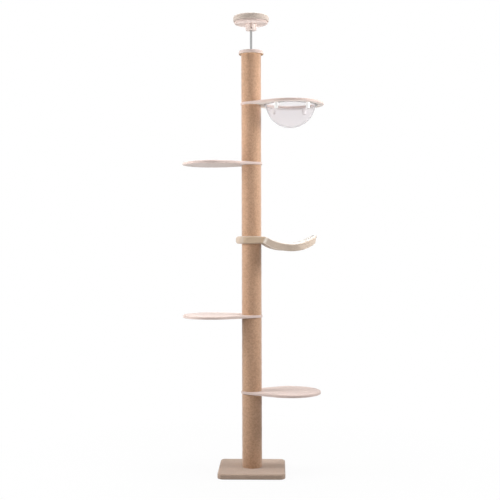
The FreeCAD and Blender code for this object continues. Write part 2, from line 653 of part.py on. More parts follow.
def make_tensioner():
    make_knob()
    socket_top = "Sizes.disc_bottom + Sizes.lower_disc_thick"
    rod_top = "Sizes.disc_bottom + Sizes.socket_depth - Sizes.turn_gap"
    node(cylinder("Sizes.rod_radius", "(%s) - Sizes.rod_bottom" % rod_top, "Sizes.rod_bottom"), "jack_rod")

    small_screws = []
    for x, y in around("Sizes.socket_screw_circle", 3, 90):
        shank = cylinder("Sizes.small_screw", "Sizes.small_screw_long", "Sizes.disc_bottom", x, y)
        head = cone("Sizes.small_head", "Sizes.small_screw", "Sizes.small_screw", "Sizes.disc_bottom", x, y)
        small_screws.append(fuse(shank, head))
    socket_screws = node(group(small_screws), "socket_screws")

    long_screws = []
    for x, y in around("Sizes.disc_screw_circle", 4, 45):
        shank = cylinder("Sizes.disc_screw", "Sizes.disc_screw_long", "Sizes.disc_bottom", x, y)
        head = cone("Sizes.disc_screw_head", "Sizes.disc_screw", "Sizes.disc_screw",
                    "Sizes.disc_bottom", x, y)
        long_screws.append(fuse(shank, head))
    disc_screws = node(group(long_screws), "disc_screws")

    barrel = cylinder("Sizes.socket_radius", "Sizes.lower_disc_thick", "Sizes.disc_bottom")
    flange = cylinder("Sizes.socket_flange", "Sizes.socket_flange_thick", "Sizes.disc_bottom")
    socket = fuse(barrel, flange)
    bore = cylinder("Sizes.rod_radius + Sizes.rod_fit", "Sizes.socket_depth", "Sizes.disc_bottom")
    node(cut(socket, fuse(bore, socket_screws)), "swivel_socket")

    lower = disc_body("lower_disc", "Sizes.lower_disc_radius", size("lower_disc_radius"),
                      "Sizes.lower_disc_thick", "Sizes.disc_bottom")
    round_edges(lower, "Sizes.lower_disc_edge", outline_at(levels_of(lower)[0], 20))
    node(cut(lower, fuse(socket, socket_screws, disc_screws)), "ceiling_disc_lower")

    board = disc_body("upper_board_disc", "Sizes.upper_disc_radius - Sizes.cover_wall",
                      size("upper_disc_radius") - size("cover_wall"),
                      "Sizes.upper_disc_thick - 2 * Sizes.cover_wall", socket_top + " + Sizes.cover_wall")
    blank = disc_body("upper_blank", "Sizes.upper_disc_radius", size("upper_disc_radius"),
                      "Sizes.upper_disc_thick", socket_top)
    for body, less in ((board, " - Sizes.cover_wall"), (blank, "")):
        bottom, top = levels_of(body)
        round_edges(body, "Sizes.upper_disc_edge" + less, outline_at(top, 20))
        round_edges(body, "Sizes.upper_disc_edge" + less, outline_at(bottom, 20))
    node(cut(board, disc_screws), "ceiling_disc_board")
    node(cut(blank, fuse(board, disc_screws)), "ceiling_disc_cover")
    node(cylinder("Sizes.grip_radius", "Sizes.grip_thick", socket_top + " + Sizes.upper_disc_thick"),
         "ceiling_grip_pad")


def write_parts():
    """Check every object, then write one STEP file for each node."""
    doc.recompute()
    for thing in doc.Objects:
        if {"Invalid", "Error"} & set(thing.State):
            raise RuntimeError("%s (%s) failed to compute" % (thing.Name, thing.Label))
    for thing in nodes:
        if thing.Shape.isNull() or not thing.Shape.isValid():
            raise RuntimeError("%s has no valid shape" % thing.Label)
    os.makedirs("parts", exist_ok=True)
    for thing in nodes:
        thing.Shape.exportStep(os.path.join("parts", thing.Label + ".step"))
        box = thing.Shape.BoundBox
        print("%-28s solids %2d  volume %10.0f  x %7.1f %7.1f  y %7.1f %7.1f  z %7.1f %7.1f" % (
            thing.Label, len(thing.Shape.Solids), thing.Shape.Volume,
            box.XMin, box.XMax, box.YMin, box.YMax, box.ZMin, box.ZMax))
    print(len(nodes), "nodes")


cap_screw_set = cap_screws()
make_base()
make_post()
make_plate("shelf", 1, "_lower_right")
make_plate("shelf", 2, "_lower_left", turned=True)
make_cradle()
make_plate("shelf", 4, "_upper_left", turned=True)
bowl_screw_set = make_bowl()
make_plate("ring", 5, "", hole=True, screws=bowl_screw_set)
make_cap()
make_tensioner()
write_parts()
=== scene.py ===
import math

import bmesh
import bpy
import numpy as np
from mathutils import Matrix, Vector


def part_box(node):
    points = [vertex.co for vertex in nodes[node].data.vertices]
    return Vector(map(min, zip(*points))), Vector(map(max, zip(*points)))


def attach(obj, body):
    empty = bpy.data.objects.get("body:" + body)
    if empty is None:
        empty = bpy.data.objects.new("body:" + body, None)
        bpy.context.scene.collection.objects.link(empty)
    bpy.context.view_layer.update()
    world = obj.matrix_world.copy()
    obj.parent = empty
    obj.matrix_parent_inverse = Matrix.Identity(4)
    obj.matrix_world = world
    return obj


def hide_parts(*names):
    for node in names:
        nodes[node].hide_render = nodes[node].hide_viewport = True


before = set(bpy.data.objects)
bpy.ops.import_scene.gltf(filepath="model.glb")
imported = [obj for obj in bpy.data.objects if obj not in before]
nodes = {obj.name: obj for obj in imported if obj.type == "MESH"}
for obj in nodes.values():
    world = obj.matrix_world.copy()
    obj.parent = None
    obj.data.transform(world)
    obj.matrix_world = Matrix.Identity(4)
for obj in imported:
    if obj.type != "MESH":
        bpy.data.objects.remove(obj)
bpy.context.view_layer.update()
MM = 0.001
TURN = 2 * math.pi

# -------- surfaces


def grid_faces(rows, columns, wrap_rows, wrap_columns):
    """Quads of a grid of points, each joining a point to its neighbours in the next row and column."""
    row = np.arange(rows if wrap_rows else rows - 1)[:, None]
    column = np.arange(columns if wrap_columns else columns - 1)[None, :]
    next_row = (row + 1) % rows
    next_column = (column + 1) % columns
    corners = [row * columns + column, row * columns + next_column,
               next_row * columns + next_column, next_row * columns + column]
    return np.stack(np.broadcast_arrays(*corners), -1).reshape(-1, 4)


def grid_shape(points, wrap_rows, wrap_columns):
    """Points of shape (rows, columns, 3) as (vertices, faces)."""
    rows, columns = points.shape[:2]
    return points.reshape(-1, 3), grid_faces(rows, columns, wrap_rows, wrap_columns).tolist()


def merged(shapes):
    """Several (vertices, faces) shapes as one."""
    vertices = []
    faces = []
    count = 0
    for points, corners in shapes:
        vertices.append(points)
        faces += [[corner + count for corner in face] for face in corners]
        count += len(points)
    return np.concatenate(vertices), faces


def add_object(name, data):
    made = bpy.data.objects.new(name, data)
    bpy.context.scene.collection.objects.link(made)
    return made


def make_piece(name, shape, material, body, replaces, weld=0.0):
    """Smooth mesh object from (vertices, faces), with outward faces, riding on its body. It
    stands for the CAD nodes it replaces; points closer than weld are joined."""
    vertices, faces = shape
    mesh = bpy.data.meshes.new(name)
    mesh.from_pydata(vertices.tolist(), [], faces)
    work = bmesh.new()
    work.from_mesh(mesh)
    if weld:
        bmesh.ops.remove_doubles(work, verts=work.verts, dist=weld)
        bmesh.ops.dissolve_degenerate(work, edges=work.edges, dist=weld)
        work.to_mesh(mesh)
    inside_out = work.calc_volume(signed=True) < 0
    work.free()
    if inside_out:
        mesh.flip_normals()
    mesh.polygons.foreach_set("use_smooth", np.full(len(mesh.polygons), True))
    mesh.update()
    piece = add_object(name, mesh)
    mesh.materials.append(material)
    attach(piece, body)
    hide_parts(*replaces)
    return piece


def ripple(points, wavelength, seed):
    """Smooth noise between about -1 and 1: a sum of plane waves in random directions, whose
    wavelengths lie within a third of the given one."""
    waves = 28
    dice = np.random.default_rng(seed)
    directions = dice.normal(size=(waves, 3))
    directions /= np.linalg.norm(directions, axis=1, keepdims=True)
    numbers = TURN / (wavelength * dice.uniform(0.7, 1.35, waves))
    phases = dice.uniform(0, TURN, waves)
    flat_points = points.reshape(-1, 3)
    total = np.zeros(len(flat_points))
    for direction, number, phase in zip(directions, numbers, phases):
        total += np.sin(flat_points @ direction * number + phase)
    return (total / math.sqrt(waves)).reshape(points.shape[:-1])


def grid_normals(points):
    """Unit normals of a closed grid of points, from the differences along its rows and columns."""
    along, across = (np.roll(points, -1, axis) - np.roll(points, 1, axis) for axis in (0, 1))
    normal = np.cross(along, across)
    length = np.linalg.norm(normal, axis=-1, keepdims=True)
    return normal / np.maximum(length, 1e-12)


def eased(share):
    """Share from 0 to 1 that starts and ends level: 3 s^2 - 2 s^3."""
    return share * share * (3 - 2 * share)


def bell(distance, width):
    """1 on a line, falling away on both sides as exp(-(distance / width)^2)."""
    return np.exp(-(distance / width) ** 2)


def spread_from_post(points):
    """Distance of each point from the post's axis."""
    return np.linalg.norm(points[..., :2], axis=-1)


# -------- outlines


def hull_outline(arcs, count):
    """Closed outline of round corners joined by the straight lines that touch them, sampled
    evenly along its length. Each corner is (x, y, radius, first angle, last angle) in degrees,
    counter-clockwise. Returns points and outward normals, both (count, 2)."""
    spans = []
    for index, (x, y, radius, first, last) in enumerate(arcs):
        first, last = math.radians(first), math.radians(last)
        spans.append(("arc", radius * (last - first), (x, y, radius, first, last)))
        nx, ny, next_radius, next_first, _ = arcs[(index + 1) % len(arcs)]
        next_first = math.radians(next_first)
        start = np.array([x + radius * math.cos(last), y + radius * math.sin(last)])
        end = np.array([nx + next_radius * math.cos(next_first), ny + next_radius * math.sin(next_first)])
        length = float(np.linalg.norm(end - start))
        if length > 1e-9:
            spans.append(("line", length, (start, end, last)))
    total = sum(span[1] for span in spans)
    along = np.arange(count) * total / count
    points = np.zeros((count, 2))
    normals = np.zeros((count, 2))
    passed = 0.0
    for kind, length, shape in spans:
        here = (along >= passed) & (along < passed + length)
        share = (along[here] - passed) / length
        if kind == "arc":
            x, y, radius, first, last = shape
            angle = first + share * (last - first)
            facing = np.stack([np.cos(angle), np.sin(angle)], -1)
            points[here] = np.array([x, y]) + radius * facing
        else:
            start, end, angle = shape
            facing = np.tile([math.cos(angle), math.sin(angle)], (here.sum(), 1))
            points[here] = start + share[:, None] * (end - start)
        normals[here] = facing
        passed += length
    return points, normals


def teardrop(small, big, reach, turned, count):
    """Outline of a plate: a small round end about the post and a big one at its reach along X,
    or along -X when turned."""
    lean = math.degrees(math.acos((small - big) / reach))
    arcs = [(0, 0, small, lean, 360 - lean), (reach, 0, big, -lean, lean)]
    points, normals = hull_outline(arcs, count)
    if turned:
        return -points, -normals
    return points, normals


def plate_sizes(node):
    """Small radius, big radius and reach of a teardrop CAD node, and whether it points along -X."""
    low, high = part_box(node)
    big = (high.y - low.y) / 2
    turned = high.x < -low.x
    near, far = (high.x, -low.x) if turned else (-low.x, high.x)
    return near, big, far - big, turned


def rounded_square(side, corner, count):
    """Square about the origin with corners of the given radius."""
    half = side / 2 - corner
    places = [(half, -half, -90), (half, half, 0), (-half, half, 90), (-half, -half, 180)]
    return hull_outline([(x, y, corner, first, first + 90) for x, y, first in places], count)


def circle(radius, count):
    """Circle about the origin, as points and outward normals."""
    angle = np.arange(count) * TURN / count
    facing = np.stack([np.cos(angle), np.sin(angle)], -1)
    return radius * facing, facing


def hole_facing(outline, radius, centre=0.0):
    """Round hole about a place on the X axis, with one point towards each point of an outline."""
    points = outline[0]
    angle = np.arctan2(points[:, 1], points[:, 0] - centre)
    facing = np.stack([np.cos(angle), np.sin(angle)], -1)
    return np.array([centre, 0]) + radius * facing, facing


def at_height(outline, inset, height):
    """Outline drawn in by the inset and raised to the height, as points in space."""
    points, normals = outline
    return np.column_stack([points - inset * normals, np.full(len(points), height)])


# -------- plush covers


WALL = 2.6 * MM
PILE_DEPTH = 0.35 * MM
SEAM_WIDTH = 0.9 * MM


def quarter(start, end, steps):
    """Quarter-round from one (inset, height) to another, leaving the first upright."""
    angle = np.linspace(0, math.pi / 2, steps)
    inset = start[0] + (end[0] - start[0]) * (1 - np.cos(angle))
    height = start[1] + (end[1] - start[1]) * np.sin(angle)
    return list(zip(inset, height))


def bottom_quarter(radius, low, angle):
    """Quarter-round from the underside, drawn in by the radius, out to the side."""
    return list(zip(radius * (1 - np.sin(angle)), low + radius * (1 - np.cos(angle))))


def edge_profile(low, high, top_round, bottom_round, seam):
    """Side of a cover from its bottom rim up to its top, as (inset, height) pairs, with a sewn
    seam sunk into the middle of the side."""
    rows = [(WALL, low + 0.2 * MM)]
    rows += bottom_quarter(bottom_round, low, np.linspace(0, math.pi / 2, 5))
    middle = (low + bottom_round + high - top_round) / 2
    room = (high - top_round - low - bottom_round) / 2
    for lift in (-0.75, -0.45, -0.22, 0.0, 0.22, 0.45, 0.75):
        rows.append((seam * bell(lift * room, SEAM_WIDTH), middle + lift * room))
    rows += quarter((0.0, high - top_round), (top_round, high), 7)
    return rows


def cover_rows(outline, low, high, top_round, bottom_round, seam, inner, steps, inner_skirt=False):
    """Rows of points of a plush cover: up the outer side, over the top to the inner outline and
    back along the hidden inside, so that the rows close on themselves. With inner_skirt the
    inner outline has a rounded and sewn side of its own."""
    hole = (inner[0], -inner[1])
    side = edge_profile(low, high, top_round, bottom_round, seam)
    rows = [at_height(outline, inset, height) for inset, height in side]
    start = at_height(outline, top_round, high)
    end = at_height(hole, top_round if inner_skirt else 0.0, high)
    rows += [start + (end - start) * share for share in np.linspace(0, 1, steps + 2)[1:-1]]
    if inner_skirt:
        rows += [at_height(hole, inset, height) for inset, height in side[::-1]]
        rows.append(at_height(hole, WALL, high - WALL))
    else:
        rows += [at_height(hole, 0.0, high), at_height(hole, 0.0, high - WALL)]
    rows.append(at_height(outline, WALL, high - WALL))
    return np.array(rows)


def swell_top(rows, high, rise, start, waviness, wavelength, seed):
    """Raises the top face by the rise from a start distance outwards, unevenly by the waviness."""
    swell = rise * np.clip((spread_from_post(rows) - start) / (30 * MM), 0, 1)
    uneven = 1 - waviness + waviness * ripple(rows, wavelength, seed)
    rows[..., 2] += np.where(rows[..., 2] > high - 0.1 * MM, swell * uneven, 0)


def plush_piece(name, rows, keep_flat, material, body, node):
    """Cover whose surface is roughened by its pile, except within keep_flat of the post's axis
    and at the hidden inside."""
    normals = grid_normals(rows)
    centre_z = (rows[..., 2].min() + rows[..., 2].max()) / 2
    free = np.clip((spread_from_post(rows) - keep_flat) / (6 * MM), 0, 1)
    texture = 0.6 * ripple(rows, 7 * MM, 11) + 0.4 * ripple(rows, 3.2 * MM, 12)
    sign = np.sign((normals[..., 2] * (rows[..., 2] - centre_z)).mean())
    push = PILE_DEPTH * (0.5 + 0.5 * np.clip(texture, -1.2, 1.2)) * free
    push[-2:] = 0
    push[0] = 0
    shaped = rows + normals * (sign * push)[..., None]
    make_piece(name, grid_shape(shaped, True, True), material, body, (node,))


# -------- node materials


def new_material(name):
    """Material with one Principled shader; returns it, its node tree and the shader."""
    material = bpy.data.materials.new(name)
    material.use_nodes = True
    tree = material.node_tree
    tree.nodes.clear()
    output = tree.nodes.new("ShaderNodeOutputMaterial")
    shader = tree.nodes.new("ShaderNodeBsdfPrincipled")
    tree.links.new(shader.outputs["BSDF"], output.inputs["Surface"])
    return material, tree, shader


def feed(tree, node, links):
    """Links or sets a node's inputs from {input: socket or value}."""
    for name, value in links.items():
        if isinstance(value, bpy.types.NodeSocket):
            tree.links.new(value, node.inputs[name])
        else:
            node.inputs[name].default_value = value


def add_node(tree, kind, links, **settings):
    """New node; settings are its own properties, links are {input: socket or value}."""
    made = tree.nodes.new("ShaderNode" + kind)
    for name, value in settings.items():
        setattr(made, name, value)
    feed(tree, made, links)
    return made


def math_node(tree, operation, first, second=0.0, third=0.0):
    made = add_node(tree, "Math", {0: first, 1: second, 2: third}, operation=operation)
    return made.outputs[0]


def mix_colour(tree, factor, first, second):
    """First colour at factor 0, second at 1; each is a socket or (red, green, blue)."""
    colours = [colour + (1,) if isinstance(colour, tuple) else colour for colour in (first, second)]
    made = add_node(tree, "Mix", {0: factor, 6: colours[0], 7: colours[1]}, data_type="RGBA")
    return made.outputs[2]


def darker(colour, share):
    return tuple(share * part for part in colour)


def span(tree, value, low, high, to_low=0.0, to_high=1.0):
    """Value carried from the range low to high onto to_low to to_high, and clamped to it."""
    made = add_node(tree, "MapRange", {0: value, 1: low, 2: high, 3: to_low, 4: to_high})
    return made.outputs[0]


def noise(tree, place, scale, detail, rough):
    made = add_node(tree, "TexNoise", {"Vector": place, "Scale": scale, "Detail": detail,
                                       "Roughness": rough})
    return made.outputs["Fac"]


def stretched(tree, place, scale):
    return add_node(tree, "Mapping", {"Vector": place, "Scale": scale}).outputs[0]


def start_group(name, inputs, outputs):
    """Empty shader node group with inputs from {label: kind} and the named float outputs."""
    group = bpy.data.node_groups.new(name, "ShaderNodeTree")
    for label, kind in inputs.items():
        group.interface.new_socket(label, in_out="INPUT", socket_type="NodeSocket" + kind)
    for label in outputs:
        group.interface.new_socket(label, in_out="OUTPUT", socket_type="NodeSocketFloat")
    return group, group.nodes.new("NodeGroupInput").outputs, group.nodes.new("NodeGroupOutput")


def use_group(tree, group, links):
    return add_node(tree, "Group", links, node_tree=group).outputs


def pile_group():
    """Short pile of plush: soft patches where the nap lies another way, tufts, and fibre ends."""
    group, source, sink = start_group("pile", {"Place": "Vector", "Tuft Scale": "Float"},
                                      ("Patches", "Tufts", "Height"))
    patches = noise(group, source["Place"], 11.0, 3.0, 0.5)
    tufts = noise(group, source["Place"], source["Tuft Scale"], 5.0, 0.65)
    fibre_scale = math_node(group, "MULTIPLY", source["Tuft Scale"], 5.0)
    fibres = noise(group, source["Place"], fibre_scale, 2.0, 0.7)
    feed(group, sink, {"Patches": span(group, patches, 0.3, 0.7), "Tufts": span(group, tufts, 0.3, 0.7),
                       "Height": math_node(group, "MULTIPLY_ADD", fibres, 0.35, tufts)})
    return group


def rope_group():
    """Rope wound round the post: where a point lies across its turn, the diagonal strands of
    its lay, the loose fibres that run with them, and blotches and specks of other tones."""
    group, source, sink = start_group("rope_lay", {"Place": "Vector", "Start": "Float"},
                                      ("Across", "Strand", "Fibre", "Blotch", "Speckle"))
    parts = add_node(group, "SeparateXYZ", {0: source["Place"]}).outputs
    turned = math_node(group, "DIVIDE", math_node(group, "ARCTAN2", parts[1], parts[0]), TURN)
    height = math_node(group, "SUBTRACT", parts[2], source["Start"])
    raised = math_node(group, "DIVIDE", height, ROPE_PITCH)
    across = math_node(group, "FRACT", math_node(group, "SUBTRACT", raised, turned))
    lay = math_node(group, "MULTIPLY_ADD", turned, float(ROPE_LAYS), across)
    wave = math_node(group, "COSINE", math_node(group, "MULTIPLY", lay, TURN))
    slanted = math_node(group, "MULTIPLY_ADD", turned, 60.0, math_node(group, "MULTIPLY", raised, 1.2))
    twist = add_node(group, "CombineXYZ", {0: slanted, 1: math_node(group, "MULTIPLY", raised, 7.0),
                                           2: math_node(group, "MULTIPLY", lay, 0.15)}).outputs[0]
    feed(group, sink, {"Across": across, "Strand": math_node(group, "MULTIPLY_ADD", wave, 0.5, 0.5),
                       "Fibre": noise(group, twist, 2.4, 4.0, 0.7),
                       "Blotch": noise(group, source["Place"], 14.0, 3.0, 0.6),
                       "Speckle": noise(group, source["Place"], 85.0, 2.0, 0.6)})
    return group


def object_place(tree):
    return tree.nodes.new("ShaderNodeTexCoord").outputs["Object"]


def bump(tree, height, strength, distance):
    made = add_node(tree, "Bump", {"Height": height, "Strength": strength, "Distance": distance})
    return made.outputs["Normal"]


def plush_material(name, deep, pale, tuft_scale, bump_distance, sheen, masks=()):
    """Short plush: tufts from a deep tone to a pale one, darker in patches. Each mask is (mesh
    attribute, tone, strength) and lays its tone over the pile where the attribute is 1."""
    material, tree, shader = new_material(name)
    pile = use_group(tree, PILE, {"Place": object_place(tree), "Tuft Scale": tuft_scale})
    base = mix_colour(tree, pile["Tufts"], deep, pale)
    cloth = mix_colour(tree, math_node(tree, "MULTIPLY", pile["Patches"], 0.22), base, darker(deep, 0.78))
    for label, tone, strength in masks:
        mask = add_node(tree, "Attribute", {}, attribute_name=label).outputs["Fac"]
        cloth = mix_colour(tree, math_node(tree, "MULTIPLY", mask, strength), cloth, tone)
    feed(tree, shader, {"Base Color": cloth, "Roughness": 0.95, "Specular IOR Level": 0.15,
                        "Sheen Weight": sheen, "Sheen Roughness": 0.4, "Sheen Tint": (1.0, 0.96, 0.93, 1),
                        "Normal": bump(tree, pile["Height"], 0.8, bump_distance)})
    return material


def sisal_material(name, start):
    """Sisal rope wound from the start height: straw with paler blotches and dark specks, and painted
    shade in the clefts between its turns and in the grooves between its strands."""
    material, tree, shader = new_material(name)
    rope = use_group(tree, ROPE, {"Place": object_place(tree), "Start": start})
    fibre = span(tree, rope["Fibre"], 0.3, 0.72)
    middle = math_node(tree, "ABSOLUTE", math_node(tree, "SUBTRACT", rope["Across"], 0.5))
    cleft_shade = math_node(tree, "MULTIPLY", span(tree, middle, 0.34, 0.5), 0.75)
    straw = mix_colour(tree, fibre, (0.45, 0.26, 0.155), (0.82, 0.53, 0.36))
    # painted shade: the last two tones darken the clefts between turns and the grooves between strands
    for share, tone in ((span(tree, rope["Blotch"], 0.35, 0.7, 0.0, 0.3), (0.70, 0.47, 0.33)),
                        (span(tree, rope["Speckle"], 0.42, 0.62, 0.0, 0.5), (0.40, 0.24, 0.145)),
                        (cleft_shade, (0.24, 0.14, 0.08)),
                        (span(tree, rope["Strand"], 0.25, 0.0, 0.0, 0.4), (0.31, 0.185, 0.11))):
        straw = mix_colour(tree, share, straw, tone)
    height = math_node(tree, "MULTIPLY_ADD", rope["Fibre"], 0.7,
                       math_node(tree, "MULTIPLY", rope["Strand"], 0.5))
    feed(tree, shader, {"Base Color": straw, "Roughness": span(tree, fibre, 0.0, 1.0, 0.78, 0.92),
                        "Specular IOR Level": 0.25, "Sheen Weight": 0.75, "Sheen Roughness": 0.4,
                        "Normal": bump(tree, height, 0.9, 0.0009)})
    return material


def wood_material(name, dark, light, scale, along, rough):
    """Sanded timber: streaks of grain, longest where along is smallest, with fine pores."""
    material, tree, shader = new_material(name)
    place = stretched(tree, object_place(tree), along)
    grain = noise(tree, place, scale, 5.0, 0.6)
    pores = noise(tree, place, scale * 7, 2.0, 0.6)
    tone = mix_colour(tree, span(tree, grain, 0.35, 0.68), dark, light)
    tone = mix_colour(tree, span(tree, pores, 0.62, 0.8, 0.0, 0.35), tone, darker(dark, 0.6))
    feed(tree, shader, {"Base Color": tone,
                        "Roughness": span(tree, grain, 0.3, 0.7, rough - 0.08, rough + 0.1),
                        "Normal": bump(tree, math_node(tree, "ADD", grain, pores), 0.35, 0.0003)})
    return material


def steel_material(name, tone, rough):
    """Zinc-plated steel: fine tool marks and dull spangle."""
    material, tree, shader = new_material(name)
    place = object_place(tree)
    marks = noise(tree, stretched(tree, place, (0.15, 0.15, 1.0)), 900.0, 3.0, 0.6)
    spangle = noise(tree, place, 60.0, 3.0, 0.5)
    zinc = mix_colour(tree, span(tree, spangle, 0.3, 0.7), darker(tone, 0.86), tone)
    feed(tree, shader, {"Base Color": zinc, "Metallic": 1.0,
                        "Roughness": span(tree, spangle, 0.3, 0.7, rough - 0.06, rough + 0.08),
                        "Normal": bump(tree, marks, 0.25, 0.0001)})
    return material


def plastic_material(name, tone, rough):
    """Moulded plastic with a fine spark-eroded texture and faint flow marks."""
    material, tree, shader = new_material(name)
    place = object_place(tree)
    texture = noise(tree, place, 1400.0, 2.0, 0.5)
    flow = noise(tree, place, 25.0, 3.0, 0.5)
    moulded = mix_colour(tree, span(tree, flow, 0.3, 0.7), darker(tone, 0.93), tone)
    feed(tree, shader, {"Base Color": moulded,
                        "Roughness": span(tree, flow, 0.3, 0.7, rough - 0.05, rough + 0.07),
                        "Normal": bump(tree, texture, 0.2, 0.00015)})
    return material


def paper_material(name):
    """Wound paper board with pale and dark flecks."""
    material, tree, shader = new_material(name)
    fleck = noise(tree, object_place(tree), 500.0, 3.0, 0.6)
    board = mix_colour(tree, span(tree, fleck, 0.3, 0.7), (0.30, 0.21, 0.13), (0.46, 0.34, 0.22))
    feed(tree, shader, {"Base Color": board, "Roughness": 0.9, "Normal": bump(tree, fleck, 0.3, 0.0002)})
    return material


def grip_material(name):
    """Soft rubber sheet with a fine cellular grip and some dust."""
    material, tree, shader = new_material(name)
    place = object_place(tree)
    dust = noise(tree, place, 30.0, 4.0, 0.6)
    cells = add_node(tree, "TexVoronoi", {"Vector": place, "Scale": 420.0}).outputs["Distance"]
    rubber = mix_colour(tree, span(tree, dust, 0.4, 0.75), (0.05, 0.048, 0.046), (0.12, 0.115, 0.11))
    rubber = mix_colour(tree, span(tree, cells, 0.2, 0.6, 0.0, 0.5), rubber, (0.02, 0.02, 0.02))
    feed(tree, shader, {"Base Color": rubber, "Roughness": 0.82, "Normal": bump(tree, cells, 0.5, 0.0004)})
    return material


def acrylic_material(name):
    """Clear moulded acrylic with a light haze of fine scratches."""
    material, tree, shader = new_material(name)
    scratches = noise(tree, stretched(tree, object_place(tree), (1.0, 9.0, 3.0)), 60.0, 5.0, 0.65)
    haze = mix_colour(tree, span(tree, scratches, 0.3, 0.7), (0.895, 0.872, 0.880), (0.875, 0.852, 0.860))
    feed(tree, shader, {"Base Color": haze, "Roughness": span(tree, scratches, 0.4, 0.75, 0.15, 0.23),
                        "Transmission Weight": 0.95, "IOR": 1.14})
    return material


ROPE_PITCH = 6 * MM
ROPE_LAYS = 44
ROPE_THICK = 5.9 * MM
ROPE_WOBBLE = 0.25 * MM
STRAND_RISE = 0.28 * MM
PILE = pile_group()
ROPE = rope_group()
BEIGE = plush_material("beige_plush", (0.56, 0.44, 0.395), (0.73, 0.60, 0.555), 320.0, 0.0010, 0.48)
TAN = plush_material("tan_plush", (0.36, 0.26, 0.20), (0.56, 0.425, 0.34), 280.0, 0.0014, 0.4)
FELT = plush_material("felt_backing", (0.56, 0.465, 0.43), (0.70, 0.61, 0.57), 700.0, 0.0004, 0.3)
# painted shade: a darker, greyer copy of the beige plush for the ceiling disc's shell, which the lamps
# reach less
SHADED_DISC_PLUSH = plush_material("shaded_disc_plush", (0.46, 0.385, 0.335), (0.62, 0.53, 0.465), 320.0, 0.0010, 0.5)
PALE_FELT = plush_material("pale_backing", (0.74, 0.64, 0.58), (0.86, 0.78, 0.72), 700.0, 0.0004, 0.4)
CHIPBOARD = wood_material("chipboard", (0.40, 0.28, 0.17), (0.62, 0.47, 0.31), 90.0, (1, 1, 1), 0.8)
BEECH = wood_material("beech", (0.50, 0.34, 0.20), (0.68, 0.50, 0.32), 12.0, (1, 1, 9), 0.6)
STEEL = steel_material("zinc_steel", (0.60, 0.60, 0.60), 0.36)
PLASTIC = plastic_material("white_plastic", (0.95, 0.945, 0.94), 0.42)
WARM_PLASTIC = plastic_material("warm_white_plastic", (0.78, 0.67, 0.62), 0.45)
ROD_STEEL = steel_material("rod_steel", (0.50, 0.50, 0.50), 0.42)
# painted light in the masks: the panel tone is partly the top's cream cloth and partly painted light from
# above; the piping tone is a painted highlight on the seam band and also makes the piping past the seam
# paler
CUSHION = plush_material("cushion_plush", (0.50, 0.40, 0.32), (0.66, 0.55, 0.455), 300.0, 0.0010, 0.45,
                         (("collar", (0.52, 0.385, 0.265), 0.8), ("cream_and_lit_panel", (0.74, 0.72, 0.68), 0.85),
                          ("seam_highlight_and_piping", (0.86, 0.78, 0.69), 0.85)))
RUBBER = grip_material("grip_rubber")
PAPER = paper_material("wound_board")
ACRYLIC = acrylic_material("clear_acrylic")


def finish_node(name, material):
    """Gives a CAD node that keeps its own shape its finish."""
    mesh = nodes[name].data
    mesh.materials.clear()
    mesh.materials.append(material)


# -------- the post


def rope_shape(low, high, inner, outer):
    """Sleeve of rope turns. A point at angle a and height z lies z / pitch - a / turn turns along
    the winding; across each turn the surface is half a circle, the strands of the lay swell it,
    and the rows climb with the winding. The ends are cut level and closed to the inner wall."""
    per_turn = 6
    turns = int(math.ceil((high - low) / ROPE_PITCH))
    steps = np.arange(-per_turn, turns * per_turn + 1)[:, None]
    share = np.linspace(0, 1, 4 * ROPE_LAYS + 1)[None, :]
    height = np.clip(low + ROPE_PITCH * (steps / per_turn + share), low, high)
    phase = (height - low) / ROPE_PITCH - share
    across = phase - np.floor(phase) - 0.5
    angle = share * TURN + 0 * height
    around = np.stack([np.cos(angle), np.sin(angle), height], -1)
    wobble = ripple(around * [60 * MM, 60 * MM, 1], 45 * MM, 3) * ROPE_WOBBLE
    strand = np.cos(TURN * (ROPE_LAYS * share + across)) * STRAND_RISE
    half = ROPE_PITCH / 2
    bulge = np.sqrt(np.maximum(0.0, 1.0 - (across / 0.53) ** 2))
    radius = outer - half + half * bulge + strand * bulge + wobble - 0.3 * MM
    body = np.stack([radius * np.cos(angle), radius * np.sin(angle), height], -1)
    ring = np.stack([inner * np.cos(angle[0]), inner * np.sin(angle[0]), 0 * angle[0]], -1)
    first = ring + [0, 0, low]
    last = ring + [0, 0, high]
    return grid_shape(np.concatenate([first[None], body, last[None]]), True, False)


def make_post():
    """Six rope-wrapped segments on paper tubes with turned plugs."""
    for number in range(1, 7):
        node = "rope_wrap_%d" % number
        low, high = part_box(node)
        outer = high.x
        material = sisal_material("sisal_%d" % number, low.z)
        make_piece("sisal_rope_%d" % number, rope_shape(low.z, high.z, outer - ROPE_THICK, outer),
                   material, "post", (node,), weld=2e-6)
        finish_node("post_tube_%d" % number, PAPER)
        finish_node("end_plugs_%d" % number, BEECH)


# -------- plates


BOLT_HOLE = 5.6 * MM
RING_HOLE = 153 * MM
RING_REACH = 237 * MM
UNDER_POST = 62 * MM


def make_shelf(side):
    """Teardrop shelf whose plush swells a little away from the post."""
    node = "shelf_cover_" + side
    low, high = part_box(node)
    outline = teardrop(*plate_sizes(node), 300)
    rows = cover_rows(outline, low.z, high.z, 5 * MM, 2 * MM, 0.7 * MM,
                      hole_facing(outline, BOLT_HOLE), 70)
    swell_top(rows, high.z, 1.6 * MM, 66 * MM, 0.3, 90 * MM, 21)
    plush_piece("shelf_plush_" + side, rows, UNDER_POST, BEIGE, side + "_shelf", node)
    finish_node("shelf_board_" + side, FELT)


def make_ring():
    """Teardrop ring that holds the bowl, with a sewn plush side in its hole too."""
    node = "ring_cover"
    small, big, reach, turned = plate_sizes(node)
    low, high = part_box(node)
    outline = teardrop(small, big, reach, turned, 360)
    rows = cover_rows(outline, low.z, high.z, 4 * MM, 2 * MM, 0.7 * MM,
                      hole_facing(outline, RING_HOLE, reach), 24, True)
    plush_piece("bowl_ring_plush", rows, UNDER_POST, BEIGE, "bowl_arm", node)
    finish_node("ring_board", PALE_FELT)


